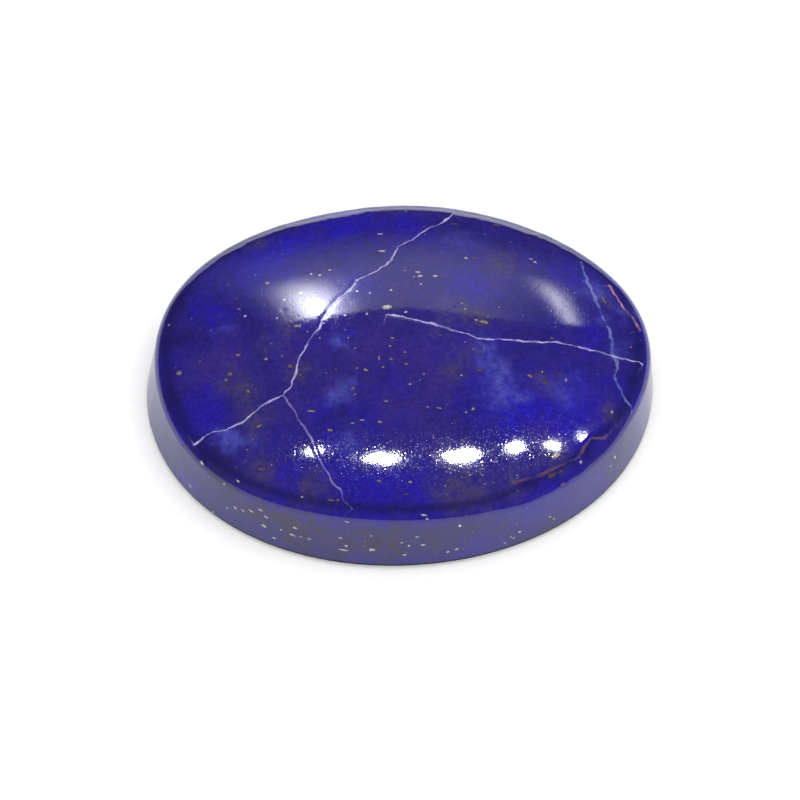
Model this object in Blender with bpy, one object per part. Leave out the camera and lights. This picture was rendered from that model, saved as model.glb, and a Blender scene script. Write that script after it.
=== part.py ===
"""An oval cabochon of lapis lazuli: a low polished dome on a leaning wall, with a flat base.

Lengths are in metres. The origin is the middle of the base, +X runs along the stone and +Z points up.
"""

import math

import bmesh
import bpy

MM = 0.001

# The girdle is the stone's widest outline, just above the base
GIRDLE_LENGTH = 19.8 * MM
GIRDLE_WIDTH = 15.3 * MM
GIRDLE_HEIGHT = 0.3 * MM

# The rim is where the wall turns into the dome
RIM_LENGTH = 18.7 * MM
RIM_WIDTH = 13.8 * MM
RIM_HEIGHT = 2.9 * MM

# The dome's height falls off as a power of the distance from its middle
DOME_RISE = 1.7 * MM
DOME_POWER = 2.3

# The rim rolls over into the wall on an arc, between these slopes in degrees
SHOULDER_RADIUS = 0.6 * MM
SHOULDER_SLOPES = (30, 80)

# The base's edge is softened by this much
BASE_ROUND = 0.3 * MM

# Cutting by hand left both outlines slightly uneven: (lobes around the stone, height, turn in degrees)
RIM_WAVES = ((3, 0.05 * MM, 27), (4, 0.06 * MM, 172), (5, 0.065 * MM, 43))
GIRDLE_WAVES = ((2, 0.095 * MM, 90), (3, 0.06 * MM, 120), (4, 0.05 * MM, -163))

# Points around the stone, and rings on each zone of the surface
POINTS_AROUND = 96
DOME_RINGS = 14
SHOULDER_RINGS = 5
WALL_RINGS = 4
ROUND_RINGS = 4

LAPIS_BLUE = (0.025, 0.018, 0.22, 1.0)
LAPIS_ROUGHNESS = 0.12


def clear_scene():
    for item in list(bpy.data.objects):
        bpy.data.objects.remove(item, do_unlink=True)


def wave_height(waves, angle):
    return sum(height * math.cos(lobes * angle - math.radians(turn)) for lobes, height, turn in waves)


def blend(first, second, share):
    return first + (second - first) * share


def dome_rings():
    """Rings from the top of the dome to just inside the rim, as (length, width, height, rim share, scale)."""
    for step in range(DOME_RINGS):
        spread = step / DOME_RINGS
        height = RIM_HEIGHT + DOME_RISE * (1 - spread**DOME_POWER)
        yield RIM_LENGTH * spread, RIM_WIDTH * spread, height, 1.0, spread**2


def shoulder_end():
    """How far out and down from the rim the shoulder's arc ends."""
    first, last = (math.radians(slope) for slope in SHOULDER_SLOPES)
    out = SHOULDER_RADIUS * (math.sin(last) - math.sin(first))
    down = SHOULDER_RADIUS * (math.cos(first) - math.cos(last))
    return out, down


def shoulder_rings():
    """Rings on the arc that rolls from the rim into the wall."""
    first, last = (math.radians(slope) for slope in SHOULDER_SLOPES)
    for step in range(SHOULDER_RINGS):
        slope = blend(first, last, step / SHOULDER_RINGS)
        out = SHOULDER_RADIUS * (math.sin(slope) - math.sin(first))
        down = SHOULDER_RADIUS * (math.cos(first) - math.cos(slope))
        yield RIM_LENGTH + 2 * out, RIM_WIDTH + 2 * out, RIM_HEIGHT - down, 1.0, 1.0


def wall_rings():
    """Rings on the wall, which leans out from the shoulder down to the girdle."""
    out, down = shoulder_end()
    for step in range(WALL_RINGS):
        share = step / WALL_RINGS
        length = blend(RIM_LENGTH + 2 * out, GIRDLE_LENGTH, share)
        width = blend(RIM_WIDTH + 2 * out, GIRDLE_WIDTH, share)
        yield length, width, blend(RIM_HEIGHT - down, GIRDLE_HEIGHT, share), 1.0 - share, 1.0


def base_rings():
    """Rings that round the girdle under to the flat base, and the base's middle as the last one."""
    for step in range(ROUND_RINGS + 1):
        turn = math.pi / 2 * step / ROUND_RINGS
        inset = 2 * BASE_ROUND * (1 - math.cos(turn))
        height = GIRDLE_HEIGHT * (1 - math.sin(turn))
        yield GIRDLE_LENGTH - inset, GIRDLE_WIDTH - inset, height, 0.0, 1.0
    yield 0.0, 0.0, 0.0, 0.0, 0.0


def point_on_ring(ring, angle):
    """A point of an oval ring, pushed out along the oval's own normal by the waves of its outline."""
    length, width, height, rim_share, wave_scale = ring
    x, y = length / 2 * math.cos(angle), width / 2 * math.sin(angle)
    normal_x, normal_y = width * math.cos(angle), length * math.sin(angle)
    normal_size = math.hypot(normal_x, normal_y)
    if normal_size == 0:
        return x, y, height
    rim_wave, girdle_wave = wave_height(RIM_WAVES, angle), wave_height(GIRDLE_WAVES, angle)
    push = wave_scale * blend(girdle_wave, rim_wave, rim_share) / normal_size
    return x + push * normal_x, y + push * normal_y, height


def build_stone_mesh():
    """A sphere whose rings are moved, from pole to pole, to the rings of the stone."""
    rings = [*dome_rings(), *shoulder_rings(), *wall_rings(), *base_rings()]
    stone = bmesh.new()
    bmesh.ops.create_uvsphere(stone, u_segments=POINTS_AROUND, v_segments=len(rings) - 1, radius=1.0)
    for vertex in stone.verts:
        ring_number = round(math.acos(max(-1.0, min(1.0, vertex.co.z))) / math.pi * (len(rings) - 1))
        angle = math.atan2(vertex.co.y, vertex.co.x)
        vertex.co = point_on_ring(rings[ring_number], angle)
    base_middle = min(stone.verts, key=lambda vertex: (vertex.co.z, math.hypot(vertex.co.x, vertex.co.y)))
    bmesh.ops.dissolve_verts(stone, verts=[base_middle])
    bmesh.ops.recalc_face_normals(stone, faces=stone.faces)
    mesh = bpy.data.meshes.new("cabochon")
    stone.to_mesh(mesh)
    stone.free()
    mesh.shade_smooth()
    mesh.set_sharp_from_angle(angle=math.radians(40))
    return mesh


def lapis_material():
    material = bpy.data.materials.new("lapis_lazuli")
    material.use_nodes = True
    shader = material.node_tree.nodes["Principled BSDF"]
    shader.inputs["Base Color"].default_value = LAPIS_BLUE
    shader.inputs["Roughness"].default_value = LAPIS_ROUGHNESS
    shader.inputs["Metallic"].default_value = 0.0
    return material


def main():
    clear_scene()
    collection = bpy.data.collections.new("lapis_cabochon")
    bpy.context.scene.collection.children.link(collection)
    cabochon = bpy.data.objects.new("cabochon", build_stone_mesh())
    cabochon.data.materials.append(lapis_material())
    collection.objects.link(cabochon)


main()
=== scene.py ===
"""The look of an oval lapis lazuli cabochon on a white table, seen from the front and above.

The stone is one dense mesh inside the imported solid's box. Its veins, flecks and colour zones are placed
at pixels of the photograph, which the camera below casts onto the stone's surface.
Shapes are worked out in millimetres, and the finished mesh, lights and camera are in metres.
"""

import math
import random
from collections import namedtuple

import bpy
import numpy as np
from mathutils import Color, Matrix, Vector, noise
from mathutils.bvhtree import BVHTree


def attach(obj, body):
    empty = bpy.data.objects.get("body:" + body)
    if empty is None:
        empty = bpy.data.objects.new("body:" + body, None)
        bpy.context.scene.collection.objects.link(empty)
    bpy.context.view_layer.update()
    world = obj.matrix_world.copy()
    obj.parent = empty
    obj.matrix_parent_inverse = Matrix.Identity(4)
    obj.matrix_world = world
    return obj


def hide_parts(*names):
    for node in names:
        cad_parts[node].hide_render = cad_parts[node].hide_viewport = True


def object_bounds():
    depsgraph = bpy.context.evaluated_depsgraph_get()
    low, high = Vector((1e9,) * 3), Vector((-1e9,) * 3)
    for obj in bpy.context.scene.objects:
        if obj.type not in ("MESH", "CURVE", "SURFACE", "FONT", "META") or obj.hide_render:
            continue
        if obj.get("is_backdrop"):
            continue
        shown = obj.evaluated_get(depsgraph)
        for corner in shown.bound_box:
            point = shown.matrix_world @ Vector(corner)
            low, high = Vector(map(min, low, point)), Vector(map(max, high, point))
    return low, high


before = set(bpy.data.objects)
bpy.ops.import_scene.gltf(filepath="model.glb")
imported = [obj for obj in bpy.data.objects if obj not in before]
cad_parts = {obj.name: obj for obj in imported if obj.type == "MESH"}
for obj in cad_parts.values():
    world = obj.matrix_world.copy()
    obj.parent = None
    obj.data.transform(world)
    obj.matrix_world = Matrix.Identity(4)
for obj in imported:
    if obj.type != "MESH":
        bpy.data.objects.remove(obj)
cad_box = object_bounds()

MM = 0.001
TINY = 1e-9
SEED = 11

# The stone's sizes in millimetres, as in the solid that it replaces
GIRDLE_LENGTH, GIRDLE_WIDTH, GIRDLE_HEIGHT = 19.8, 15.3, 0.3
RIM_LENGTH, RIM_WIDTH, RIM_HEIGHT = 18.7, 13.8, 2.9
DOME_RISE, DOME_POWER = 1.7, 2.3
SHOULDER_RADIUS = 0.6
SHOULDER_SLOPES = (30, 80)
BASE_ROUND = 0.3
RIM_WAVES = ((3, 0.05, 27), (4, 0.06, 172), (5, 0.065, 43))
GIRDLE_WAVES = ((2, 0.095, 90), (3, 0.06, 120), (4, 0.05, -163))

# The mesh: rings on the dome, each with a few more points than the last, then rows of equal rings, and on
# the base some rings at these distances from its edge and the rest at a wider spacing
POINTS_ADDED = 6
DOME_RINGS = 122
SHOULDER_ROWS = 8
WALL_ROWS = 32
ROUND_ROWS = 6
BASE_INSETS = (0.10, 0.26, 0.52)
BASE_SPACING = 0.33

# The camera, in degrees, millimetres and pixels of the 800 by 800 photograph
PHOTO_SIZE = 800
CAMERA_ELEVATION = 60.0
CAMERA_DISTANCE = 200.0
CAMERA_ROLL = 0.8
PIXELS_PER_MM = 25.64
ORIGIN_PIXEL = (400.6, 395.1)
SENSOR = 36.0
CLIP_START = 10.0

# Veins, as pixels of the photograph from one end to the other
MAIN_VEIN = (
    (456, 212), (447, 219), (438, 225), (431, 227), (424, 231), (416, 237), (412, 240), (404, 243),
    (398, 247), (395, 254), (391, 260), (385, 265), (378, 270), (368, 275), (357, 280), (350, 290),
    (338, 298), (329, 309), (322, 319), (319, 328), (310, 338), (304, 350), (298, 362), (296, 374),
    (290, 387), (283, 395), (267, 402), (254, 412), (243, 422), (226, 430), (212, 432), (204, 436),
    (200, 440), (194, 445),
)
BRANCH_VEIN = (
    (283, 395), (288, 402), (295, 411), (298, 419), (305, 428), (312, 440), (316, 452), (321, 463),
    (326, 470), (332, 482), (341, 490), (343, 499), (352, 509),
)
RIGHT_VEIN = (
    (386, 314), (401, 316), (417, 320), (434, 324), (452, 330), (469, 334), (478, 338), (486, 339),
    (503, 339), (521, 341), (538, 342), (555, 342), (572, 345), (582, 348), (598, 351), (612, 356),
    (629, 360), (639, 362), (643, 365),
)
BLUE_VEIN = (
    (581, 262), (588, 283), (595, 297), (603, 317), (610, 331), (612, 345), (612, 354), (616, 360),
    (618, 368), (614, 374), (615, 380), (620, 389), (622, 395), (626, 400), (630, 406), (632, 413),
)
RIM_STREAK = (
    (617, 424), (606, 436), (591, 438), (586, 444), (578, 456), (566, 462), (553, 468), (541, 474),
    (533, 477), (512, 482),
)
COPPER_STREAK = ((609, 285), (616, 296), (622, 306), (633, 318), (640, 331))

VEIN_LINES = {
    "main_vein": MAIN_VEIN,
    "branch_vein": BRANCH_VEIN,
    "right_vein": RIGHT_VEIN,
    "blue_vein": BLUE_VEIN,
    "rim_streak": RIM_STREAK,
    "copper_streak": COPPER_STREAK,
}

# The distances between which a vein's field fades out, to its sides and past its ends, in millimetres
VEIN_REACH = (0.40, 0.55)
VEIN_TIP = (0.0, 0.10)

# Flecks as (x, y, length, width, turn), in pixels of the photograph and degrees
CREAM_FLECKS = (
    (387, 307, 14, 7, 10), (418, 272, 7, 3, 0), (420, 276, 8, 4, 5), (421, 284, 4, 3, 0),
    (435, 276, 7, 4, 10), (466, 258, 5, 4, -20), (382, 251, 9, 4, -5), (380, 234, 8, 3, -5),
    (330, 270, 4, 3, 0), (320, 275, 4, 3, 0), (311, 274, 4, 3, 0), (245, 316, 5, 4, 30),
    (301, 293, 5, 4, 0), (357, 280, 5, 3, 0), (284, 300, 4, 3, 0), (357, 291, 4, 3, 0),
    (391, 290, 4, 3, 0), (367, 314, 4, 4, 0), (345, 315, 4, 3, 30), (277, 318, 4, 3, 0),
    (370, 293, 3, 3, 0), (406, 312, 5, 3, 10), (535, 262, 6, 3, -45), (531, 259, 5, 3, -20),
)
BRASS_FLECKS = (
    (484, 322, 14, 5, -15), (476, 320, 6, 4, 0), (462, 303, 4, 3, 0), (465, 309, 4, 3, 0),
    (499, 307, 4, 3, 60), (179, 373, 9, 7, 0), (230, 374, 6, 8, 60), (226, 380, 4, 5, 0),
    (238, 355, 4, 7, 60), (248, 391, 8, 4, -45), (379, 358, 3, 6, 0), (391, 359, 6, 3, -10),
    (383, 367, 4, 3, 0), (366, 370, 7, 4, -20), (357, 368, 4, 3, 0), (259, 426, 9, 4, 20),
    (311, 411, 14, 3, -8), (330, 430, 7, 4, 0), (353, 388, 6, 3, 40), (355, 394, 4, 3, 0),
    (380, 422, 7, 3, -10), (362, 420, 9, 2, -5), (353, 423, 7, 2, 10), (410, 384, 5, 3, 0),
    (424, 374, 4, 3, 0), (406, 364, 5, 3, 0), (420, 380, 4, 2, 0), (392, 338, 5, 3, 0),
    (439, 408, 8, 2, -10), (428, 407, 5, 2, 0), (473, 409, 6, 4, 35), (466, 412, 3, 3, 0),
    (390, 346, 4, 3, 0), (355, 348, 4, 3, 0), (300, 325, 4, 3, 0), (296, 326, 8, 3, -10),
    (267, 283, 5, 6, 70), (239, 309, 3, 6, 80), (169, 325, 4, 4, 0), (266, 359, 4, 6, 60),
    (282, 356, 4, 3, 0), (345, 330, 3, 3, 0), (320, 338, 4, 4, 0), (348, 338, 3, 3, 0),
    (473, 349, 3, 3, 0), (484, 348, 4, 3, -30), (465, 342, 3, 2, 0), (386, 401, 6, 3, 0),
    (530, 376, 4, 8, 70), (566, 380, 4, 6, 0), (612, 412, 5, 5, 30), (405, 352, 4, 3, 0),
)
BRONZE_FLECKS = (
    (262, 469, 14, 6, 0), (379, 481, 8, 4, -10), (410, 482, 6, 3, 0), (406, 494, 10, 2, 5),
    (331, 500, 10, 4, -5), (338, 500, 6, 3, 0), (470, 475, 4, 4, 0), (485, 484, 5, 2, 0),
    (482, 462, 5, 4, 30), (540, 238, 8, 3, -25), (515, 482, 10, 3, 12), (236, 467, 4, 4, 0),
    (290, 366, 6, 8, 60), (300, 375, 5, 6, 0), (474, 258, 10, 4, -20), (500, 264, 9, 5, -20),
    (424, 227, 5, 3, 0), (455, 224, 12, 3, -10), (497, 225, 14, 4, -12), (258, 243, 10, 4, 30),
    (556, 455, 14, 8, 30), (604, 300, 5, 14, 20), (552, 338, 6, 4, 0), (440, 335, 8, 4, -20),
    (480, 370, 8, 4, 0), (545, 383, 8, 5, 0), (560, 374, 5, 6, 0), (336, 369, 5, 3, 0),
    (563, 482, 8, 4, 30), (561, 470, 9, 4, 35), (552, 474, 14, 6, 25),
)
WALL_FLECKS = (
    (202, 463, 8, 4, -50), (224, 484, 4, 3, -40), (238, 481, 6, 3, -35), (190, 486, 3, 7, 20),
    (227, 508, 4, 3, -30), (235, 508, 6, 4, -30), (243, 511, 7, 3, -30), (251, 511, 8, 3, -20),
    (260, 510, 8, 4, -35), (266, 517, 8, 4, -30), (264, 526, 9, 5, -45), (295, 528, 8, 4, -12),
    (292, 535, 10, 4, -25), (301, 537, 6, 2, -15), (309, 539, 6, 3, -15), (281, 530, 4, 3, 0),
    (274, 538, 6, 3, -20), (347, 522, 9, 2, -20), (340, 538, 6, 2, -5), (346, 546, 5, 4, 0),
    (343, 550, 15, 3, -8), (372, 550, 9, 6, 0), (371, 536, 5, 2, 0), (424, 515, 9, 3, -10),
    (427, 519, 5, 3, 0), (417, 537, 6, 2, 5), (409, 546, 4, 4, 0), (402, 543, 4, 2, 0),
    (405, 555, 6, 3, 0), (423, 545, 7, 3, 0), (460, 526, 5, 5, 0), (457, 549, 7, 3, 15),
    (448, 552, 5, 3, 0), (511, 537, 4, 3, 30), (520, 532, 5, 4, 30), (514, 538, 4, 3, 0),
    (505, 543, 4, 3, 0), (550, 517, 5, 3, 0), (554, 519, 4, 3, 0), (581, 460, 5, 4, 30),
    (615, 457, 4, 8, 20), (611, 466, 3, 4, 0), (302, 497, 4, 2, -15), (213, 512, 4, 3, 0),
)

# Each list's tint, from bronze at 0 to cream at 1, and how much it varies
FLECK_KINDS = ((CREAM_FLECKS, 0.9), (BRASS_FLECKS, 0.5), (BRONZE_FLECKS, 0.12), (WALL_FLECKS, 0.95))
TINT_SPREAD = 0.1

# A fleck's size against the listed one, and the zone that it keeps for itself: this many times its own
# size, and this many millimetres more. Flecks whose zones would touch are kept in different layers.
FLECK_SCALE = 0.76
FLECK_SPREAD = 1.7
FLECK_MARGIN = 0.10
FLECK_LAYERS = 6

# Flecks on the part of the wall that the photograph doesn't show, with lengths in millimetres and turns
# in radians. The part starts at this sine of the angle around the stone.
HIDDEN_FLECKS = 70
HIDDEN_SIDE = -0.1
HIDDEN_HEIGHTS = (0.3, 2.6)
HIDDEN_HALF_LENGTHS = (0.05, 0.15)
HIDDEN_WIDTHS = (0.35, 0.9)
HIDDEN_TURNS = (-0.4, 0.4)
HIDDEN_TINTS = (0.2, 1.0)

# Colour zones as (x, y, radius, strength), in pixels of the photograph
ROYAL_ZONES = (
    (262, 258, 22, 0.9), (300, 243, 22, 0.9), (345, 230, 20, 1.0), (405, 225, 18, 0.8),
    (202, 305, 16, 0.6), (218, 316, 14, 0.9), (285, 484, 20, 0.8), (372, 495, 30, 0.5),
    (425, 497, 26, 0.6), (552, 410, 34, 1.0), (512, 412, 22, 0.9), (570, 422, 20, 0.9),
    (590, 338, 16, 0.8), (480, 292, 16, 0.6), (325, 408, 9, 0.9), (204, 420, 14, 0.8),
    (398, 384, 14, 0.6), (225, 352, 14, 0.5), (620, 385, 10, 0.5), (345, 332, 9, 0.7),
)
VIOLET_ZONES = (
    (205, 368, 22, 0.8), (232, 356, 20, 0.9), (378, 338, 22, 0.7), (300, 345, 26, 0.7),
    (438, 382, 22, 0.7), (360, 362, 24, 0.6), (395, 402, 20, 0.9), (415, 350, 22, 0.7),
    (290, 405, 18, 0.6), (545, 440, 18, 0.6), (330, 380, 12, 0.5), (430, 440, 24, 0.4),
)
UMBER_ZONES = (
    (272, 345, 14, 0.7), (288, 328, 12, 0.8), (445, 312, 14, 0.7), (478, 318, 18, 1.0),
    (455, 368, 16, 0.8), (545, 382, 14, 0.7), (245, 393, 16, 0.9), (258, 422, 13, 1.0),
    (262, 468, 15, 0.9), (312, 490, 16, 1.0), (455, 490, 17, 1.1), (478, 495, 14, 0.9),
    (555, 454, 14, 0.7), (512, 482, 14, 0.7), (300, 372, 14, 0.7), (440, 335, 16, 0.5),
    (608, 410, 12, 0.9), (345, 318, 10, 0.3), (500, 262, 16, 0.6), (604, 300, 8, 0.9),
    (395, 312, 14, 0.4), (231, 378, 12, 0.7), (470, 350, 12, 0.6), (258, 243, 10, 0.6),
)
CLOUD_ZONES = (
    (492, 365, 12, 0.9), (487, 347, 10, 0.6), (505, 380, 11, 0.8), (498, 396, 13, 0.8),
    (345, 392, 10, 0.6), (332, 397, 9, 0.7), (338, 342, 9, 0.6), (229, 441, 9, 1.1),
    (215, 436, 8, 0.4), (222, 328, 9, 0.3), (565, 390, 16, 0.5), (595, 292, 12, 0.7),
    (600, 320, 9, 0.5), (628, 310, 12, 0.6), (352, 438, 12, 0.4), (520, 395, 8, 0.5),
    (460, 240, 16, 0.3), (250, 440, 10, 0.3), (350, 345, 8, 0.4), (618, 350, 8, 0.5),
)
NIGHT_ZONES = (
    (175, 305, 14, 0.8), (180, 340, 14, 0.7), (172, 400, 12, 0.7), (528, 235, 16, 0.6),
    (570, 245, 12, 0.7), (210, 455, 14, 0.8), (225, 465, 12, 0.6), (185, 420, 10, 0.4),
    (630, 380, 9, 0.8), (635, 352, 8, 0.6), (240, 250, 12, 0.5), (460, 225, 14, 0.4),
    (590, 452, 7, 0.9), (570, 466, 7, 0.9), (550, 476, 7, 0.9), (530, 485, 7, 0.9), (505, 491, 7, 0.8),
)
CALCITE_ZONES = (
    (260, 510, 26, 0.8), (300, 530, 26, 0.9), (350, 545, 26, 0.9), (395, 545, 22, 0.8),
    (220, 480, 22, 0.5), (440, 545, 16, 0.6), (185, 450, 20, 0.4), (500, 530, 14, 0.3),
)

ZONE_PLACES = {
    "royal": ROYAL_ZONES,
    "violet": VIOLET_ZONES,
    "night": NIGHT_ZONES,
    "calcite": CALCITE_ZONES,
    "umber": UMBER_ZONES,
    "cloud": CLOUD_ZONES,
}

# How far noise moves the edges of the zones, the size of that noise, and its place for each axis
ZONE_WARP, ZONE_WARP_SIZE = 0.30, 0.8
ZONE_WARP_OFFSETS = (1.3, 4.9, 8.2)

# Hand cutting left facets along the rim, as (middle, half width) in degrees around the stone, and
# how far inside the rim the facet starts and how much steeper than the dome it is
Facet = namedtuple("Facet", "middle half_width inset steeper")
RIM_FACETS = (
    Facet(-47, 24, 0.45, 0.40),
    Facet(92, 76, 0.20, 0.32),
    Facet(65, 16, 0.30, 0.32),
    Facet(108, 14, 0.30, 0.32),
)

# Where a facet runs out, as shares of its half width and as heights, and how its upper line wobbles
FACET_ENDS = (0.55, 1.0)
FACET_FADE = (1.6, 2.8)
FACET_WOBBLE = 0.045
WOBBLE_SIZE, FINE_WOBBLE_SIZE, FINE_WOBBLE_SHARE = 1.4, 0.3, 0.6

# Relief in millimetres. The dome's waves fade out at the rim, and the wall's at its top and foot.
POLISH_WAVE, POLISH_WAVE_SIZE = 0.0012, 1.3
POLISH_FADE = (0.0, 0.6)
WALL_WAVE, WALL_WAVE_SIZE = 0.012, 2.6
WALL_WAVE_STRETCH = (1, 1, 0.35)
WALL_TOP, WALL_FOOT = (2.75, 2.2), (0.0, 0.4)
GROOVED_VEINS = ("main_vein", "branch_vein", "right_vein")
GROOVE_DEPTH, GROOVE_WIDTH = 0.006, 0.10
PITS = 60
PIT_RADII, PIT_DEPTHS = (0.09, 0.20), (0.0008, 0.0025)
PIT_LOWEST = 0.4

# Fractal noise: how fast its octaves weaken and shrink
NOISE_DIMENSION, NOISE_LACUNARITY = 0.5, 2.0


def camera_axes():
    """The camera's right, up and back directions, as unit vectors."""
    lift, roll = math.radians(CAMERA_ELEVATION), math.radians(CAMERA_ROLL)
    level, up = Vector((1, 0, 0)), Vector((0, math.sin(lift), math.cos(lift)))
    right = level * math.cos(roll) - up * math.sin(roll)
    back = Vector((0, -math.cos(lift), math.sin(lift)))
    return right, level * math.sin(roll) + up * math.cos(roll), back


def photo_ray(pixel):
    """The camera's place and the direction in which it sees a pixel of the photograph."""
    right, up, back = camera_axes()
    across, down = pixel[0] - ORIGIN_PIXEL[0], pixel[1] - ORIGIN_PIXEL[1]
    focal = PIXELS_PER_MM * CAMERA_DISTANCE
    return back * CAMERA_DISTANCE, (right * across - up * down - back * focal).normalized()


# The stone's rings, from the top of the dome to the middle of the base

Ring = namedtuple("Ring", "length width height rim_share wave_scale points")


def blend(first, second, share):
    return first + (second - first) * share


def smooth(low, high, value):
    """A smooth step from 0 to 1 as the value goes from low to high."""
    share = np.clip((value - low) / (high - low), 0.0, 1.0)
    return share * share * (3 - 2 * share)


def shoulder_offset(slope):
    """How far out and down from the rim the shoulder's arc has come at a slope in degrees."""
    first, here = math.radians(SHOULDER_SLOPES[0]), math.radians(slope)
    out = SHOULDER_RADIUS * (math.sin(here) - math.sin(first))
    return out, SHOULDER_RADIUS * (math.cos(first) - math.cos(here))


def stone_rings():
    """Every ring of the stone's surface in order."""
    around = POINTS_ADDED * DOME_RINGS
    yield Ring(0.0, 0.0, RIM_HEIGHT + DOME_RISE, 1.0, 0.0, 1)
    for step in range(1, DOME_RINGS):
        spread = step / DOME_RINGS
        height = RIM_HEIGHT + DOME_RISE * (1 - spread**DOME_POWER)
        yield Ring(RIM_LENGTH * spread, RIM_WIDTH * spread, height, 1.0, spread**2, POINTS_ADDED * step)
    for step in range(SHOULDER_ROWS):
        out, down = shoulder_offset(blend(*SHOULDER_SLOPES, step / SHOULDER_ROWS))
        yield Ring(RIM_LENGTH + 2 * out, RIM_WIDTH + 2 * out, RIM_HEIGHT - down, 1.0, 1.0, around)
    out, down = shoulder_offset(SHOULDER_SLOPES[1])
    for step in range(WALL_ROWS):
        share = step / WALL_ROWS
        length = blend(RIM_LENGTH + 2 * out, GIRDLE_LENGTH, share)
        width = blend(RIM_WIDTH + 2 * out, GIRDLE_WIDTH, share)
        height = blend(RIM_HEIGHT - down, GIRDLE_HEIGHT, share)
        yield Ring(length, width, height, 1.0 - share, 1.0, around)
    for step in range(ROUND_ROWS + 1):
        turn = math.pi / 2 * step / ROUND_ROWS
        inset = 2 * BASE_ROUND * (1 - math.cos(turn))
        height = GIRDLE_HEIGHT * (1 - math.sin(turn))
        yield Ring(GIRDLE_LENGTH - inset, GIRDLE_WIDTH - inset, height, 0.0, 1.0, around)
    length, width = GIRDLE_LENGTH - 2 * BASE_ROUND, GIRDLE_WIDTH - 2 * BASE_ROUND
    for number, inset in enumerate(BASE_INSETS, 1):
        points = around // (number + 1)
        yield Ring(length - 2 * inset, width - 2 * inset, 0.0, 0.0, 1.0, points)
    length, width = length - 2 * BASE_INSETS[-1], width - 2 * BASE_INSETS[-1]
    steps = round(length / 2 / BASE_SPACING)
    for step in range(steps - 1, 0, -1):
        spread = step / steps
        yield Ring(length * spread, width * spread, 0.0, 0.0, spread**2, POINTS_ADDED * step)
    yield Ring(0.0, 0.0, 0.0, 0.0, 0.0, 1)


def wave_height(waves, angle):
    return sum(height * np.cos(lobes * angle - math.radians(turn)) for lobes, height, turn in waves)


def ring_points(ring):
    """The points of one ring, and the angle of each around the stone."""
    angle = np.arange(ring.points) * (2 * math.pi / ring.points)
    x, y = ring.length / 2 * np.cos(angle), ring.width / 2 * np.sin(angle)
    normal = np.stack([ring.width * np.cos(angle), ring.length * np.sin(angle)], axis=1)
    normal /= np.maximum(np.linalg.norm(normal, axis=1, keepdims=True), TINY)
    wave = blend(wave_height(GIRDLE_WAVES, angle), wave_height(RIM_WAVES, angle), ring.rim_share)
    push = (ring.wave_scale * wave)[:, None] * normal
    points = np.stack([x + push[:, 0], y + push[:, 1], np.full(ring.points, ring.height)], axis=1)
    return points, angle


def strip_between(first, first_points, second, second_points):
    """Faces between two rings of points, which start at these vertex numbers."""
    if first_points == second_points:
        for step in range(first_points):
            after = (step + 1) % first_points
            yield (first + step, second + step, second + after, first + after)
        return
    inner = outer = 0
    while inner < first_points or outer < second_points:
        here, there = first + inner % first_points, second + outer % second_points
        if (outer + 1) * first_points <= (inner + 1) * second_points or first_points == 1:
            outer += 1
            yield (here, there, second + outer % second_points)
            if first_points == 1 and outer == second_points:
                return
        else:
            inner += 1
            yield (here, there, first + inner % first_points)
            if second_points == 1 and inner == first_points:
                return


def stone_surface():
    """The plain stone: points, faces, and for each point its angle and how far inside the rim it is."""
    points, angles, insets, faces = [], [], [], []
    start, before = 0, None
    for number, ring in enumerate(stone_rings()):
        place, angle = ring_points(ring)
        reach = RIM_LENGTH * RIM_WIDTH / 2
        reach /= np.hypot(RIM_WIDTH * np.cos(angle), RIM_LENGTH * np.sin(angle))
        inset = (1 - number / DOME_RINGS) * reach if number < DOME_RINGS else np.zeros(ring.points)
        points.append(place)
        angles.append(angle)
        insets.append(inset)
        if before:
            faces.extend(strip_between(*before, start, ring.points))
        before = (start, ring.points)
        start += ring.points
    return np.concatenate(points), faces, np.concatenate(angles), np.concatenate(insets)


def surface_normals(points, faces):
    mesh = bpy.data.meshes.new("measured")
    mesh.from_pydata(points, [], faces)
    normals = np.empty(3 * len(points), np.float32)
    mesh.vertex_normals.foreach_get("vector", normals)
    bpy.data.meshes.remove(mesh)
    return normals.reshape(-1, 3).astype(float)


def noise_field(points, size, offset, octaves=3):
    """Soft noise of about plus or minus one at each point, with features of this size in millimetres."""
    shift = Vector((offset, -offset, 2 * offset))
    return np.array([
        noise.fractal(Vector(point) / size + shift, NOISE_DIMENSION, NOISE_LACUNARITY, octaves)
        for point in points
    ])


def facet_cut(points, angles, insets):
    """How much lower each point is for the facets that are cut along the rim."""
    wobble = noise_field(points, WOBBLE_SIZE, offset=5.3)
    wobble += FINE_WOBBLE_SHARE * noise_field(points, FINE_WOBBLE_SIZE, offset=9.1)
    cut = np.zeros(len(angles))
    for facet in RIM_FACETS:
        turn = np.abs((np.degrees(angles) - facet.middle + 180) % 360 - 180)
        window = 1 - smooth(*FACET_ENDS, turn / facet.half_width)
        line = window * (facet.inset + FACET_WOBBLE * wobble)
        cut = np.maximum(cut, facet.steeper * np.maximum(line - insets, 0.0))
    return cut * smooth(*FACET_FADE, points[:, 2])


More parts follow.
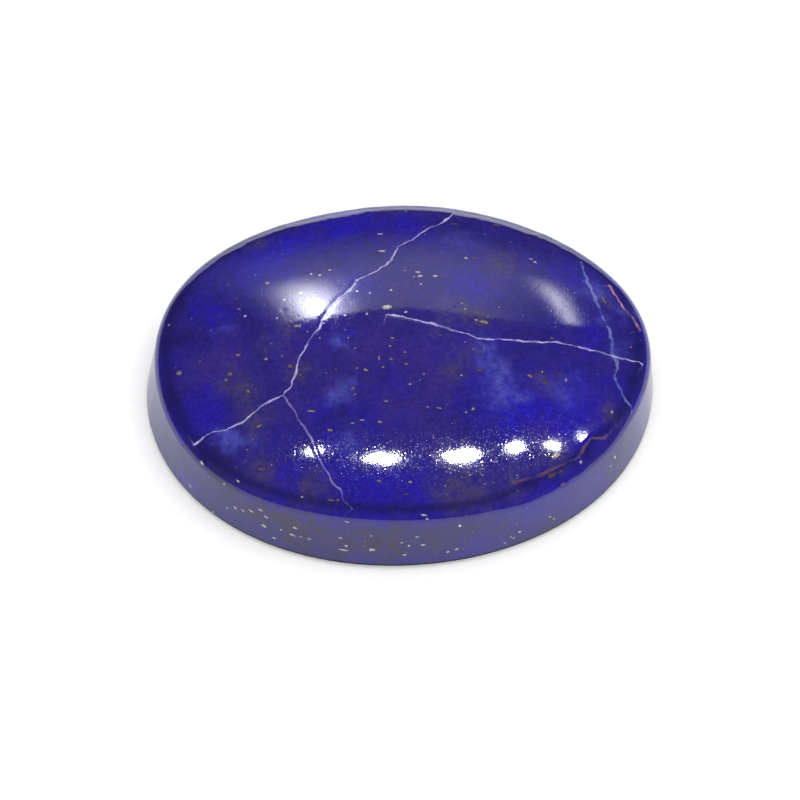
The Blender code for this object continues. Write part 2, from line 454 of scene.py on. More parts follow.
def stone_relief(points, insets, veins, draw):
    """How far each point moves out along its normal, for waves, grooves along veins, and pits."""
    heights = points[:, 2]
    relief = -POLISH_WAVE * smooth(*POLISH_FADE, insets) * noise_field(points, POLISH_WAVE_SIZE, offset=3.1)
    on_wall = smooth(*WALL_TOP, heights) * smooth(*WALL_FOOT, heights)
    wall_noise = noise_field(points * WALL_WAVE_STRETCH, WALL_WAVE_SIZE, offset=7.7)
    relief -= WALL_WAVE * on_wall * np.abs(wall_noise)
    for name in GROOVED_VEINS:
        across, near = veins[name]
        relief -= GROOVE_DEPTH * near * np.exp(-((across / GROOVE_WIDTH) ** 2))
    exposed = np.flatnonzero(heights > PIT_LOWEST)
    for _ in range(PITS):
        centre = points[exposed[draw.randrange(len(exposed))]]
        share = np.linalg.norm(points - centre, axis=1) / draw.uniform(*PIT_RADII)
        relief -= draw.uniform(*PIT_DEPTHS) * np.clip(1 - share**2, 0.0, 1.0) ** 2
    return np.minimum(relief, 0.0)


# Veins and flecks on the surface


def trace(pixels, tree):
    """The places on the stone that the camera sees at these pixels."""
    places = [tree.ray_cast(*photo_ray(pixel))[0] for pixel in pixels]
    return [np.array(place) for place in places if place is not None]


def vein_field(points, normals, line):
    """For each point, its signed distance to the line and how much it counts as near the line."""
    best = np.full(len(points), np.inf)
    signed = np.zeros(len(points))
    beyond = np.zeros(len(points), bool)
    for number, (start, end) in enumerate(zip(line, line[1:])):
        step = end - start
        share = np.clip((points - start) @ step / np.linalg.norm(step) ** 2, 0.0, 1.0)
        gap = points - (start + share[:, None] * step)
        distance = np.linalg.norm(gap, axis=1)
        side = np.where(np.einsum("ij,ij->i", np.cross(step, gap), normals) < 0, -1.0, 1.0)
        past_end = (number == 0) & (share == 0.0) | (number == len(line) - 2) & (share == 1.0)
        side[past_end] = 1.0
        closer = distance < best
        best[closer] = distance[closer]
        signed[closer] = (side * distance)[closer]
        beyond[closer] = past_end[closer]
    near = 1 - smooth(*VEIN_REACH, best)
    near[beyond] *= 1 - smooth(*VEIN_TIP, best[beyond])
    return signed, near


Fleck = namedtuple("Fleck", "centre along across length width tint")


def flat_axes(normal, turn):
    """Two directions in the surface, the first at this turn from the photograph's right."""
    right, up, _ = camera_axes()
    across = Vector(normal).cross(Vector(right * math.cos(turn) + up * math.sin(turn))).normalized()
    return np.array(across.cross(Vector(normal))), np.array(across)


def seen_flecks(tree, draw):
    """The flecks that the photograph shows, on the surface."""
    half = FLECK_SCALE / 2 / PIXELS_PER_MM
    for flecks, tint in FLECK_KINDS:
        for x, y, length, width, turn in flecks:
            place, normal, _, _ = tree.ray_cast(*photo_ray((x, y)))
            if place is None:
                continue
            along, across = flat_axes(normal, math.radians(turn))
            own_tint = tint + draw.uniform(-TINT_SPREAD, TINT_SPREAD)
            yield Fleck(np.array(place), along, across, length * half, width * half, own_tint)


def hidden_flecks(points, normals, angles, draw):
    """More flecks, on the part of the wall that the photograph doesn't show."""
    heights = points[:, 2]
    lowest, highest = HIDDEN_HEIGHTS
    back = np.flatnonzero((np.sin(angles) > HIDDEN_SIDE) & (heights > lowest) & (heights < highest))
    for _ in range(HIDDEN_FLECKS):
        spot = back[draw.randrange(len(back))]
        along, across = flat_axes(normals[spot], draw.uniform(*HIDDEN_TURNS))
        length = draw.uniform(*HIDDEN_HALF_LENGTHS)
        width = length * draw.uniform(*HIDDEN_WIDTHS)
        yield Fleck(points[spot], along, across, length, width, draw.uniform(*HIDDEN_TINTS))


def fleck_layers(points, flecks):
    """Layers of coordinates (along, across, inside) and of tints, in which no two flecks touch.

    A fleck that fits in no layer is left out.
    """
    coordinates = [np.zeros((len(points), 3)) for _ in range(FLECK_LAYERS)]
    tints = [np.zeros(len(points)) for _ in range(FLECK_LAYERS)]
    taken = [np.zeros(len(points), bool) for _ in range(FLECK_LAYERS)]
    for fleck in flecks:
        gap = points - fleck.centre
        distance = np.linalg.norm(gap, axis=1)
        shown = FLECK_SPREAD * max(fleck.length, fleck.width)
        held = distance < shown + FLECK_MARGIN
        for layer in range(FLECK_LAYERS):
            if taken[layer][held].any():
                continue
            taken[layer] |= distance < shown + 2 * FLECK_MARGIN
            coordinates[layer][held, 0] = gap[held] @ fleck.along / fleck.length
            coordinates[layer][held, 1] = gap[held] @ fleck.across / fleck.width
            coordinates[layer][distance < shown, 2] = 1.0
            tints[layer][held] = fleck.tint
            break
    return coordinates, tints


def zone_field(points, warp, zones, tree):
    """How much of a colour zone each point has, with edges that follow the warped points."""
    field = np.zeros(len(points))
    for x, y, radius, strength in zones:
        place = tree.ray_cast(*photo_ray((x, y)))[0]
        if place is None:
            continue
        distance = np.linalg.norm(points + warp - np.array(place), axis=1)
        field += strength * np.exp(-((distance * PIXELS_PER_MM / radius) ** 2))
    return np.clip(field, 0.0, 1.0)


def add_attribute(mesh, name, values):
    kind, slot = ("FLOAT_VECTOR", "vector") if values.ndim == 2 else ("FLOAT", "value")
    mesh.attributes.new(name, kind, "POINT").data.foreach_set(slot, values.astype(np.float32).ravel())


def build_stone():
    """The stone's mesh, with its relief and with the fields that its material reads."""
    draw = random.Random(SEED)
    points, faces, angles, insets = stone_surface()
    normals = surface_normals(points, faces)
    tree = BVHTree.FromPolygons(points, faces)
    veins = {name: vein_field(points, normals, trace(line, tree)) for name, line in VEIN_LINES.items()}

    placed = points + stone_relief(points, insets, veins, draw)[:, None] * normals
    placed[:, 2] -= facet_cut(points, angles, insets)
    low, high = (np.array(corner) / MM for corner in cad_box)
    placed = np.clip(placed, low, high)

    mesh = bpy.data.meshes.new("lapis_stone")
    mesh.from_pydata(placed * MM, [], faces)
    mesh.shade_smooth()
    for name, (across, near) in veins.items():
        add_attribute(mesh, f"{name}_across", across)
        add_attribute(mesh, f"{name}_near", near)
    flecks = [*seen_flecks(tree, draw), *hidden_flecks(points, normals, angles, draw)]
    for layer, (coordinates, tint) in enumerate(zip(*fleck_layers(points, flecks))):
        add_attribute(mesh, f"fleck_place_{layer}", coordinates)
        add_attribute(mesh, f"fleck_tint_{layer}", tint)
    warp = ZONE_WARP * np.stack(
        [noise_field(points, ZONE_WARP_SIZE, offset, octaves=4) for offset in ZONE_WARP_OFFSETS], axis=1
    )
    for name, places in ZONE_PLACES.items():
        add_attribute(mesh, f"{name}_zone", zone_field(points, warp, places, tree))
    return mesh


# Materials

# The strength of the soft light. The photograph's tones are divided by it to give the stone's own.
SKY = 1.45


def seen(red, green, blue):
    """The colour of a surface that the photograph shows in this 0 to 255 colour."""
    linear = Color((red / 255, green / 255, blue / 255)).from_srgb_to_scene_linear()
    return (*(channel / SKY for channel in linear), 1.0)


INDIGO = seen(44, 35, 124)
ROYAL_BLUE = seen(38, 26, 166)
VIOLET = seen(60, 44, 126)
UMBER = seen(70, 60, 108)
OLIVE = seen(66, 60, 88)
CLOUD_BLUE = seen(80, 84, 180)
NIGHT_BLUE = seen(30, 25, 88)
# A grey for the calcite zones, which on the wall also stands in as a painted reflection of the floor
CALCITE_AND_REFLECTION_GREY = seen(57, 50, 76)
VEIN_WHITE = seen(186, 178, 232)
VEIN_BLUE = seen(122, 134, 196)
RUST = seen(118, 88, 96)
COPPER = seen(184, 130, 156)
# Painted shade: the contact shadow along the stone's base edge
BASE_SHADE_BROWN = seen(40, 34, 44)
FLECK_TONES = (
    (0.0, seen(92, 76, 66)),
    (0.45, seen(160, 140, 104)),
    (0.8, seen(214, 206, 178)),
    (1.0, seen(226, 222, 214)),
)

# A mix node's sockets for colours go by number, because its other kinds of value share their names
MIX_SHARE, MIX_FIRST, MIX_SECOND, MIX_RESULT = 0, 6, 7, 2


class Nodes:
    """Adds nodes to a tree. Most calls return one output socket, and cells, split and field several."""

    def __init__(self, tree):
        self.tree = tree

    def set(self, node, socket, value):
        """Links an input if the value is another node's output, and else sets it."""
        if isinstance(value, bpy.types.NodeSocket):
            self.tree.links.new(value, node.inputs[socket])
        else:
            node.inputs[socket].default_value = value

    def add(self, kind, inputs=(), **settings):
        """The new node itself."""
        node = self.tree.nodes.new(kind)
        for name, value in settings.items():
            setattr(node, name, value)
        for socket, value in dict(inputs).items():
            self.set(node, socket, value)
        return node

    def math(self, operation, *values):
        return self.add("ShaderNodeMath", enumerate(values), operation=operation).outputs[0]

    def product(self, first, *others):
        for other in others:
            first = self.math("MULTIPLY", first, other)
        return first

    def highest(self, first, *others):
        for other in others:
            first = self.math("MAXIMUM", first, other)
        return first

    def scaled(self, vector, factor):
        inputs = {"Vector": vector, "Scale": factor}
        return self.add("ShaderNodeVectorMath", inputs, operation="SCALE").outputs[0]

    def smooth(self, value, between, results=(0.0, 1.0)):
        """A smooth step from one result to the other, as the value goes from one limit to the other."""
        inputs = enumerate((value, *between, *results))
        return self.add("ShaderNodeMapRange", inputs, interpolation_type="SMOOTHSTEP").outputs[0]

    def bell(self, value, middle, width):
        """One at the middle, and falling off smoothly on both sides of it."""
        offset = self.math("DIVIDE", self.math("SUBTRACT", value, middle), width)
        return self.math("EXPONENT", self.product(offset, offset, -1.0))

    def mix(self, share, first, second):
        inputs = {MIX_SHARE: share, MIX_FIRST: first, MIX_SECOND: second}
        return self.add("ShaderNodeMix", inputs, data_type="RGBA").outputs[MIX_RESULT]

    def noise(self, place, size, seed, detail=3.0, roughness=0.5):
        inputs = {"Vector": place, "W": seed, "Scale": 1 / size, "Detail": detail, "Roughness": roughness}
        return self.add("ShaderNodeTexNoise", inputs, noise_dimensions="4D").outputs[0]

    def cells(self, place, per_millimetre):
        """The distance to the middle of the nearest cell, and that cell's random vector."""
        outputs = self.add("ShaderNodeTexVoronoi", {"Vector": place, "Scale": per_millimetre}).outputs
        return outputs["Distance"], outputs["Color"]

    def split(self, vector):
        return self.add("ShaderNodeSeparateXYZ", {"Vector": vector}).outputs

    def field(self, name):
        return self.add("ShaderNodeAttribute", attribute_name=name).outputs

    def ramp(self, value, stops):
        node = self.add("ShaderNodeValToRGB", {"Fac": value})
        first, last = node.color_ramp.elements
        first.position, first.color = stops[0]
        last.position, last.color = stops[-1]
        for position, colour in stops[1:-1]:
            node.color_ramp.elements.new(position).color = colour
        return node.outputs[0]


# The ground's mottling: the sizes of its noises in millimetres, and for each tone the noise levels
# between which it comes in, and the most of it that shows
BROAD_SIZE, MIDDLE_SIZE, FINE_SIZE = 2.6, 0.9, 0.16
ROYAL_LEVELS, ROYAL_MOST = (0.42, 0.66), 0.55
VIOLET_LEVELS, VIOLET_MOST = (0.50, 0.70), 0.50
NIGHT_LEVELS, NIGHT_MOST = (0.46, 0.30), 0.35
OLIVE_LEVELS, OLIVE_MOST = (0.52, 0.66), 0.80
GRAIN_LEVELS, GRAIN_BRIGHTNESS = (0.25, 0.75), (0.80, 1.22)

# Each zone's tone and the most of it that shows, and how noise breaks the zones up
ZONE_TONES = {
    "royal": (ROYAL_BLUE, 0.95),
    "violet": (VIOLET, 0.80),
    "night": (NIGHT_BLUE, 0.80),
    "calcite": (CALCITE_AND_REFLECTION_GREY, 0.85),
    "umber": (UMBER, 0.85),
    "cloud": (CLOUD_BLUE, 0.95),
}
ZONE_SEED = 10
ZONE_BREAK_SIZE, ZONE_BREAK_LEVELS, ZONE_BREAKS = 0.45, (0.3, 0.7), (0.35, 1.3)


def ground_colour(nodes, place):
    """The blue body of the stone: broad and fine mottling, and the zones of the photograph."""
    broad = nodes.noise(place, BROAD_SIZE, seed=1.0, detail=4.0)
    middle = nodes.noise(place, MIDDLE_SIZE, seed=2.0, detail=5.0, roughness=0.6)
    fine = nodes.noise(place, FINE_SIZE, seed=3.0, detail=4.0, roughness=0.6)
    colour = nodes.mix(nodes.smooth(broad, ROYAL_LEVELS, (0.0, ROYAL_MOST)), INDIGO, ROYAL_BLUE)
    colour = nodes.mix(nodes.smooth(middle, VIOLET_LEVELS, (0.0, VIOLET_MOST)), colour, VIOLET)
    colour = nodes.mix(nodes.smooth(middle, NIGHT_LEVELS, (0.0, NIGHT_MOST)), colour, NIGHT_BLUE)
    for seed, (zone, (tone, most)) in enumerate(ZONE_TONES.items(), ZONE_SEED):
        breaks = nodes.noise(place, ZONE_BREAK_SIZE, seed, detail=4.0, roughness=0.6)
        breaks = nodes.smooth(breaks, ZONE_BREAK_LEVELS, ZONE_BREAKS)
        share = nodes.math("MULTIPLY", nodes.field(f"{zone}_zone")["Fac"], breaks)
        colour = nodes.mix(nodes.math("MINIMUM", share, most), colour, tone)
    olive = nodes.smooth(fine, OLIVE_LEVELS, (0.0, OLIVE_MOST))
    colour = nodes.mix(nodes.math("MULTIPLY", nodes.field("umber_zone")["Fac"], olive), colour, OLIVE)
    return nodes.scaled(colour, nodes.smooth(fine, GRAIN_LEVELS, GRAIN_BRIGHTNESS))


# Heights in millimetres: where the wall sets in, a dark line of painted shade along the rim, and the base
# edge between the flat base and the wall, painted dark as its contact shadow and with its specular taken
# away
WALL_HEIGHTS = (2.75, 2.1)
RIM_SHADE_HEIGHT, RIM_SHADE_WIDTH, RIM_SHADE_MOST = 2.97, 0.10, 0.7
BASE_SHADE_TOP, BASE_SHADE_FOOT = (0.42, 0.22), (0.0, 0.03)

# The wall is greyed over, partly in the stone's own grey and partly as a painted reflection of the white
# floor
WALL_GREY_SIZE, WALL_GREY_LEVELS, WALL_GREY_SHARES = 1.2, (0.35, 0.65), (0.10, 0.45)


def edge_colours(nodes, place, height, on_wall, base_shade, colour):
    """The colour with the wall's grey, partly a painted floor reflection, and the painted shade along the
    rim and at the base edge over it.
    """
    wall_grey = nodes.noise(place, WALL_GREY_SIZE, seed=21.0, detail=4.0, roughness=0.6)
    wall_grey = nodes.math("MULTIPLY", on_wall, nodes.smooth(wall_grey, WALL_GREY_LEVELS, WALL_GREY_SHARES))
    # Grey over the wall, partly a painted reflection of the white floor
    colour = nodes.mix(wall_grey, colour, CALCITE_AND_REFLECTION_GREY)
    # Painted shade: a dark line all round the stone just above the rim
    rim_shade = nodes.bell(height, RIM_SHADE_HEIGHT, RIM_SHADE_WIDTH)
    colour = nodes.mix(nodes.math("MULTIPLY", rim_shade, RIM_SHADE_MOST), colour, NIGHT_BLUE)
    # Painted shade darkens the base edge and stands in for its contact shadow
    return nodes.mix(base_shade, colour, BASE_SHADE_BROWN)


# Each vein's half width and wander in millimetres, how much of it shows where it is faintest and where it
# is strongest, its tone, and its place in the noises
Vein = namedtuple("Vein", "half_width wander faintest strongest tone seed")
VEINS = {
    "rim_streak": Vein(0.050, 0.22, 0.10, 0.55, RUST, 31.0),
    "copper_streak": Vein(0.045, 0.22, 0.10, 1.0, COPPER, 32.0),
    "blue_vein": Vein(0.055, 0.34, 0.05, 0.7, VEIN_BLUE, 33.0),
    "main_vein": Vein(0.034, 0.22, 0.35, 1.0, VEIN_WHITE, 34.0),
    "right_vein": Vein(0.032, 0.20, 0.35, 1.0, VEIN_WHITE, 35.0),
    "branch_vein": Vein(0.028, 0.20, 0.20, 0.38, VEIN_WHITE, 36.0),
}
COLOURED_VEINS = ("rim_streak", "copper_streak", "blue_vein")
WHITE_VEINS = ("main_vein", "right_vein", "branch_vein")

# The noises that make a vein wander, swell and fade, with sizes in millimetres, and the shares of its
# half width where its core ends and its edge ends
VEIN_WANDER_SIZE = 0.32
VEIN_SWELL_SIZE, VEIN_SWELL_LEVELS, VEIN_SWELLS = 0.55, (0.34, 0.70), (0.45, 1.8)
VEIN_FADE_SIZE, VEIN_FADE_LEVELS = 0.4, (0.34, 0.56)
SWELL_SEED, FADE_SEED = 0.3, 0.6
VEIN_CORE, VEIN_EDGE = 0.35, 1.3


def vein_share(nodes, place, name):
    """How much of a vein shows: a ragged line whose width and strength vary along it."""
    vein = VEINS[name]
    across, near = nodes.field(f"{name}_across")["Fac"], nodes.field(f"{name}_near")["Fac"]
    wander = nodes.noise(place, VEIN_WANDER_SIZE, vein.seed, detail=4.0, roughness=0.6)
    wander = nodes.math("MULTIPLY_ADD", wander, vein.wander, -vein.wander / 2)
    distance = nodes.math("ABSOLUTE", nodes.math("ADD", across, wander))
    swell = nodes.noise(place, VEIN_SWELL_SIZE, vein.seed + SWELL_SEED)
    thinnest, thickest = VEIN_SWELLS
    half = nodes.smooth(swell, VEIN_SWELL_LEVELS, (thinnest * vein.half_width, thickest * vein.half_width))
    core, edge = nodes.math("MULTIPLY", half, VEIN_CORE), nodes.math("MULTIPLY", half, VEIN_EDGE)
    line = nodes.smooth(distance, (core, edge), (1.0, 0.0))
    fade = nodes.noise(place, VEIN_FADE_SIZE, vein.seed + FADE_SEED)
    strength = nodes.smooth(fade, VEIN_FADE_LEVELS, (vein.faintest, 1.0))
    return nodes.product(line, near, strength, vein.strongest)


# Flecks: noise that makes their edges ragged and lets them glint, and where they and the dark rings
# round them fade out, as shares of a fleck's size
FLECK_RAG_SIZE, FLECK_RAG = 0.05, 2.4
GLINT_SIZE, GLINT_LEVELS, GLINTS = 0.06, (0.35, 0.6), (0.45, 1.0)
FLECK_EDGE = (0.45, 1.05)
FLECK_RING, FLECK_RING_MOST = (0.9, 1.6), 0.35

# Specks all over the stone: cells to a millimetre, the size and depth of their ragged edges, where one
# fades out, which cells have one, how far up the fleck tones they go, and how much of them shows
SPECK_CELLS = 2.9
SPECK_RAG_SIZE, SPECK_RAG = 0.05, 0.10
SPECK_EDGE = (0.10, 0.16)
SPECK_CHOICE = (0.62, 0.66)
SPECK_BRIGHTEST = 0.8
SPECK_SHARES = (0.2, 0.8)


def add_flecks(nodes, place, colour):
    """The colour with the flecks over it, and how much of each point is pyrite."""
    rag = nodes.noise(place, FLECK_RAG_SIZE, seed=41.0, roughness=0.7)
    rag = nodes.math("MULTIPLY_ADD", rag, FLECK_RAG, -FLECK_RAG / 2)
    glint = nodes.smooth(nodes.noise(place, GLINT_SIZE, seed=43.0, detail=2.0), GLINT_LEVELS, GLINTS)
    pyrite = 0.0
    for layer in range(FLECK_LAYERS):
        along, across, inside = nodes.split(nodes.field(f"fleck_place_{layer}")["Vector"])
        square = nodes.math("MULTIPLY_ADD", across, across, nodes.math("MULTIPLY", along, along))
        radius = nodes.math("ADD", nodes.math("SQRT", square), rag)
        ring = nodes.math("MULTIPLY", nodes.smooth(radius, FLECK_RING, (FLECK_RING_MOST, 0.0)), inside)
        colour = nodes.mix(ring, colour, NIGHT_BLUE)
        share = nodes.product(nodes.smooth(radius, FLECK_EDGE, (1.0, 0.0)), inside, glint)
        tone = nodes.ramp(nodes.field(f"fleck_tint_{layer}")["Fac"], FLECK_TONES)
        colour = nodes.mix(share, colour, tone)
        pyrite = nodes.math("MAXIMUM", share, pyrite)
    return colour, pyrite


def add_specks(nodes, place, colour):
    """The colour with tiny specks over it, one in each chosen cell."""
    distance, cell = nodes.cells(place, SPECK_CELLS)
    choice, tint, strength = nodes.split(cell)
    rag = nodes.noise(place, SPECK_RAG_SIZE, seed=42.0, detail=2.0)
    distance = nodes.math("MULTIPLY_ADD", rag, SPECK_RAG, distance)
    share = nodes.product(
        nodes.smooth(distance, SPECK_EDGE, (1.0, 0.0)),
        nodes.smooth(choice, SPECK_CHOICE),
        nodes.smooth(strength, (0.0, 1.0), SPECK_SHARES),
    )
    tone = nodes.ramp(nodes.math("MULTIPLY", tint, SPECK_BRIGHTEST), FLECK_TONES)
    return nodes.mix(share, colour, tone)


# Polish: how roughness varies over it, where it is scuffed, and how much rougher the wall, the veins and
# the flecks are, with the sizes of the noises in millimetres
POLISH_SIZE, POLISH_LEVELS, POLISH_ROUGHNESS = 0.5, (0.3, 0.7), (0.03, 0.07)
SCUFF_SIZE, SCUFF_LEVELS, SCUFF_ROUGHNESS = 0.07, (0.52, 0.74), 0.17
WALL_ROUGHNESS = 0.09
MINERAL_ROUGHNESS = 0.18
PYRITE_METAL = 0.35
POLISHED_SPECULAR = 0.5
LAPIS_IOR = 1.5

# The finest relief, in millimetres: a grain, and round dents in some of the cells that fill the stone.
# A dent's depth is in grain heights, and its edge and the choice of cells are as for the specks.
GRAIN_SIZE = 0.10
GRAIN_HEIGHT = 0.0008
DENT_CELLS, DENT_EDGE, DENT_CHOICE, DENT_DEPTH = 8.0, (0.05, 0.45), (0.55, 1.0), 1.8


def stone_roughness(nodes, place, on_wall, mineral):
    """Smooth polish with fine scuffs, rougher on the wall and on veins and flecks."""
    polish = nodes.noise(place, POLISH_SIZE, seed=51.0, detail=4.0)
    polish = nodes.smooth(polish, POLISH_LEVELS, POLISH_ROUGHNESS)
    scuff = nodes.noise(place, SCUFF_SIZE, seed=53.0, detail=2.0, roughness=0.6)
    scuffed = nodes.math("ADD", polish, nodes.smooth(scuff, SCUFF_LEVELS, (0.0, SCUFF_ROUGHNESS)))
    walled = nodes.math("ADD", scuffed, nodes.math("MULTIPLY", on_wall, WALL_ROUGHNESS))
    return nodes.math("MULTIPLY_ADD", mineral, MINERAL_ROUGHNESS, walled)


def stone_bump(nodes, place):
    """The normal of the finest relief."""
    grain = nodes.noise(place, GRAIN_SIZE, seed=52.0, detail=2.0, roughness=0.6)
    distance, cell = nodes.cells(place, DENT_CELLS)
    dent = nodes.smooth(distance, DENT_EDGE, (-1.0, 0.0))
    depth = nodes.smooth(nodes.split(cell)[0], DENT_CHOICE, (0.0, DENT_DEPTH))
    relief = nodes.math("MULTIPLY_ADD", dent, depth, grain)
    return nodes.add("ShaderNodeBump", {"Height": relief, "Distance": GRAIN_HEIGHT * MM}).outputs[0]


def lapis_material():
    material = bpy.data.materials.new("polished_lapis")
    material.use_nodes = True
    nodes = Nodes(material.node_tree)
    place = nodes.scaled(nodes.add("ShaderNodeTexCoord").outputs["Object"], 1 / MM)
    height = nodes.split(place)[2]
    on_wall = nodes.smooth(height, WALL_HEIGHTS)
    # Where shade is painted along the base edge, between the flat base and the wall
    base_shade = nodes.smooth(height, BASE_SHADE_TOP)
    base_shade = nodes.math("MULTIPLY", base_shade, nodes.smooth(height, BASE_SHADE_FOOT))

    colour = edge_colours(nodes, place, height, on_wall, base_shade, ground_colour(nodes, place))
    for name in COLOURED_VEINS:
        colour = nodes.mix(vein_share(nodes, place, name), colour, VEINS[name].tone)
    calcite = nodes.highest(*(vein_share(nodes, place, name) for name in WHITE_VEINS))
    colour, pyrite = add_flecks(nodes, place, nodes.mix(calcite, colour, VEIN_WHITE))
    mineral = nodes.math("MAXIMUM", calcite, pyrite)

    shader = material.node_tree.nodes["Principled BSDF"]
    nodes.set(shader, "Base Color", add_specks(nodes, place, colour))
    nodes.set(shader, "Roughness", stone_roughness(nodes, place, on_wall, mineral))
    nodes.set(shader, "Metallic", nodes.math("MULTIPLY", pyrite, PYRITE_METAL))
    # The base edge, where shade is painted, also loses its specular
    nodes.set(shader, "Specular IOR Level", nodes.smooth(base_shade, (0.0, 1.0), (POLISHED_SPECULAR, 0.0)))
    nodes.set(shader, "IOR", LAPIS_IOR)
    nodes.set(shader, "Normal", stone_bump(nodes, place))
    return material


# The table's paper-like white
PAPER_SIZE, PAPER_LEVELS = 0.4, (0.3, 0.7)
PAPER_TONES = ((0.93, 0.93, 0.94, 1.0), (0.95, 0.95, 0.955, 1.0))
PAPER_ROUGHNESS = 0.9


def floor_material():
    material = bpy.data.materials.new("white_table")
    material.use_nodes = True
    nodes = Nodes(material.node_tree)
    place = nodes.add("ShaderNodeTexCoord").outputs["Object"]
    paper = nodes.noise(place, PAPER_SIZE * MM, seed=3.0)
    shader = material.node_tree.nodes["Principled BSDF"]
    nodes.set(shader, "Base Color", nodes.mix(nodes.smooth(paper, PAPER_LEVELS), *PAPER_TONES))
    nodes.set(shader, "Roughness", PAPER_ROUGHNESS)
    nodes.set(shader, "Specular IOR Level", 0.0)
    return material


# Light

# The soft light is stronger on the right by this share, and the room in reflections is this bright
SKY_TILT = 0.25
ROOM = 0.03
WHITE = (1.0, 1.0, 1.0, 1.0)

# The panel stands behind the stone. Places on it are shares of its distance, across to the right and up,
# and a pair says between which places its light comes in.
BEHIND = (0.02, 0.10)
PANEL_TOP = (1.30, 1.28)
VEIL_LEFT, VEIL_RIGHT, VEIL_FOOT = (-0.62, -0.25), (0.75, 0.10), (0.18, 0.75)
VEIL_GLOW = 1.2
PATCH_MIDDLE, PATCH_WIDTH, PATCH_FOOT = -0.29, 0.09, (0.62, 1.18)
PATCH_GLOW = 30.0

# The streak leans by this many degrees, and its middle and ends are measured across and along it
STREAK_LEAN = 33.6
STREAK_MIDDLE, STREAK_WIDTH = -0.01, 0.045
STREAK_FOOT, STREAK_TOP = (0.65, 0.95), (1.36, 1.30)
STREAK_GLOW = 9.0

# Lamps, in degrees: azimuth clockwise from straight behind the stone, elevation, size and turn
Lamp = namedtuple("Lamp", "azimuth elevation wide tall turn")
LAMPS = (
    Lamp(-122, 73.4, 2.6, 2.6, 0),
    Lamp(-165, 76.8, 4.2, 3.6, 0),
    Lamp(138, 75.0, 7.0, 4.2, 20),
    Lamp(108, 67.9, 3.6, 3.2, 20),
    Lamp(99.7, 60.8, 3.2, 1.8, 0),
    Lamp(91.9, 54.6, 1.6, 1.6, 0),
)
LAMP_DISTANCE = 400.0
LAMP_GLOW = 130.0


def panel_glow(nodes, direction):
    """How bright the room and the lit panel are in a direction."""
    sideways, backwards, upwards = nodes.split(direction)
    depth = nodes.math("MAXIMUM", backwards, BEHIND[0])
    across, up = nodes.math("DIVIDE", sideways, depth), nodes.math("DIVIDE", upwards, depth)
    behind = nodes.smooth(backwards, BEHIND)
    panel = nodes.math("MULTIPLY", nodes.smooth(up, PANEL_TOP), behind)

    sides = nodes.math("MULTIPLY", nodes.smooth(across, VEIL_LEFT), nodes.smooth(across, VEIL_RIGHT))
    veil = nodes.product(sides, nodes.smooth(up, VEIL_FOOT), panel, VEIL_GLOW)
    patch = nodes.bell(across, PATCH_MIDDLE, PATCH_WIDTH)
    patch = nodes.product(patch, nodes.smooth(up, PATCH_FOOT), panel, PATCH_GLOW)

    cosine, sine = math.cos(math.radians(STREAK_LEAN)), math.sin(math.radians(STREAK_LEAN))
    beside = nodes.math("MULTIPLY_ADD", up, -sine, nodes.math("MULTIPLY", across, cosine))
    along = nodes.math("MULTIPLY_ADD", up, cosine, nodes.math("MULTIPLY", across, sine))
    ends = nodes.math("MULTIPLY", nodes.smooth(along, STREAK_FOOT), nodes.smooth(along, STREAK_TOP))
    streak = nodes.product(nodes.bell(beside, STREAK_MIDDLE, STREAK_WIDTH), ends, behind, STREAK_GLOW)
    return nodes.math("ADD", nodes.math("ADD", veil, patch), nodes.math("ADD", streak, ROOM))


def make_world():
    """Soft light from all round, and for reflections a dark room with one lit panel behind the stone."""
    world = bpy.data.worlds.new("studio")
    world.use_nodes = True
    # Only bounced rays meet the world, so that its light can depend on the kind of ray
    world.cycles.sampling_method = "NONE"
    bpy.context.scene.world = world
    nodes = Nodes(world.node_tree)
    direction = nodes.add("ShaderNodeTexCoord").outputs["Generated"]
    sky = nodes.math("MULTIPLY_ADD", nodes.split(direction)[0], SKY * SKY_TILT, SKY)
    ray = nodes.add("ShaderNodeLightPath").outputs
    light = nodes.mix(ray["Is Glossy Ray"], sky, panel_glow(nodes, direction))
    light = nodes.mix(ray["Is Camera Ray"], light, WHITE)
    nodes.set(world.node_tree.nodes["Background"], "Color", light)


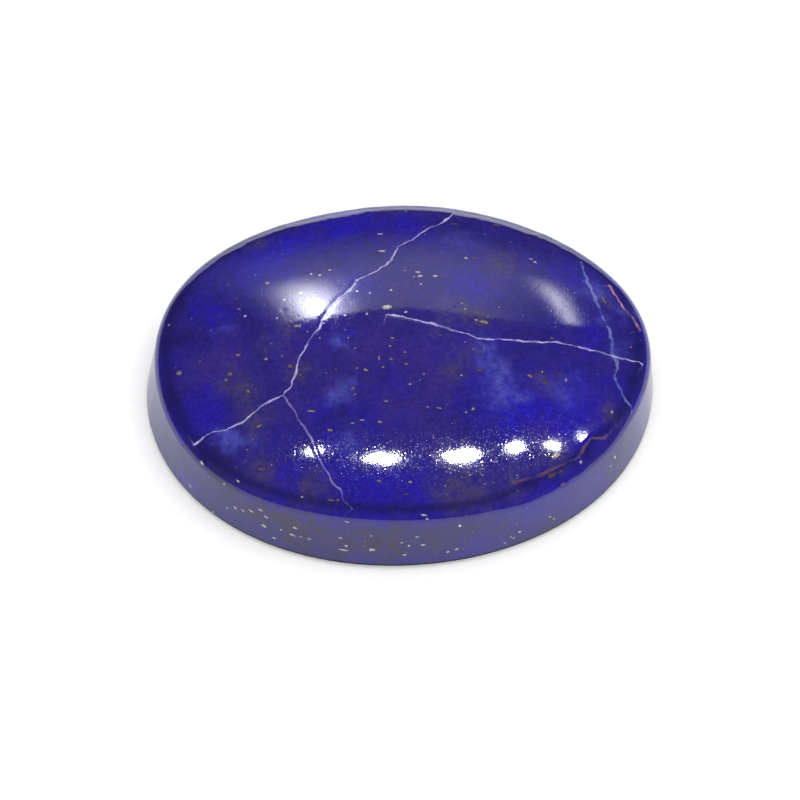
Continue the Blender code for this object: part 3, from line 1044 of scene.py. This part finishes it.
def add_lamp(number, lamp):
    """A small lamp, seen only in reflections, that faces the stone."""
    azimuth, elevation = math.radians(lamp.azimuth), math.radians(lamp.elevation)
    level = math.cos(elevation)
    outward = Vector((math.sin(azimuth) * level, math.cos(azimuth) * level, math.sin(elevation)))
    light = bpy.data.lights.new(f"lamp_{number}", "AREA")
    light.shape = "ELLIPSE"
    light.size = 2 * LAMP_DISTANCE * math.tan(math.radians(lamp.wide / 2)) * MM
    light.size_y = 2 * LAMP_DISTANCE * math.tan(math.radians(lamp.tall / 2)) * MM
    light.energy = LAMP_GLOW * math.pi * light.size * light.size_y
    across = (Vector((1, 0, 0)) - outward * outward.x).normalized()
    facing = Matrix((across, outward.cross(across), outward)).transposed().to_4x4()
    turn = Matrix.Rotation(math.radians(lamp.turn), 4, "Z")
    spot = bpy.data.objects.new(light.name, light)
    spot.matrix_world = Matrix.Translation(outward * LAMP_DISTANCE * MM) @ facing @ turn
    spot.visible_diffuse = False
    bpy.context.scene.collection.objects.link(spot)


def add_camera():
    right, up, back = camera_axes()
    camera = bpy.data.cameras.new("camera")
    camera.sensor_width = SENSOR
    camera.lens = PIXELS_PER_MM * CAMERA_DISTANCE / PHOTO_SIZE * SENSOR
    camera.shift_x = (PHOTO_SIZE / 2 - ORIGIN_PIXEL[0]) / PHOTO_SIZE
    camera.shift_y = (ORIGIN_PIXEL[1] - PHOTO_SIZE / 2) / PHOTO_SIZE
    camera.clip_start = CLIP_START * MM
    viewer = bpy.data.objects.new("camera", camera)
    turned = Matrix((right, up, back)).transposed().to_4x4()
    viewer.matrix_world = Matrix.Translation(back * CAMERA_DISTANCE * MM) @ turned
    bpy.context.scene.collection.objects.link(viewer)
    bpy.context.scene.camera = viewer


# The scene

# The table's width in millimetres
FLOOR_SIZE = 3000.0

add_camera()
make_world()
for number, lamp in enumerate(LAMPS, 1):
    add_lamp(number, lamp)

bpy.ops.mesh.primitive_plane_add(size=FLOOR_SIZE * MM)
floor = bpy.context.object
floor.name = "floor"
floor.data.materials.append(floor_material())
floor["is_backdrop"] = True

stone = bpy.data.objects.new("lapis_stone", build_stone())
stone.data.materials.append(lapis_material())
bpy.context.scene.collection.objects.link(stone)
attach(stone, "root")
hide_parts("cabochon")

bpy.context.scene.view_settings.view_transform = "Standard"

boxes = {"cad": cad_box, "visual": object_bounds()}
{name: [list(corner) for corner in box] for name, box in boxes.items()}
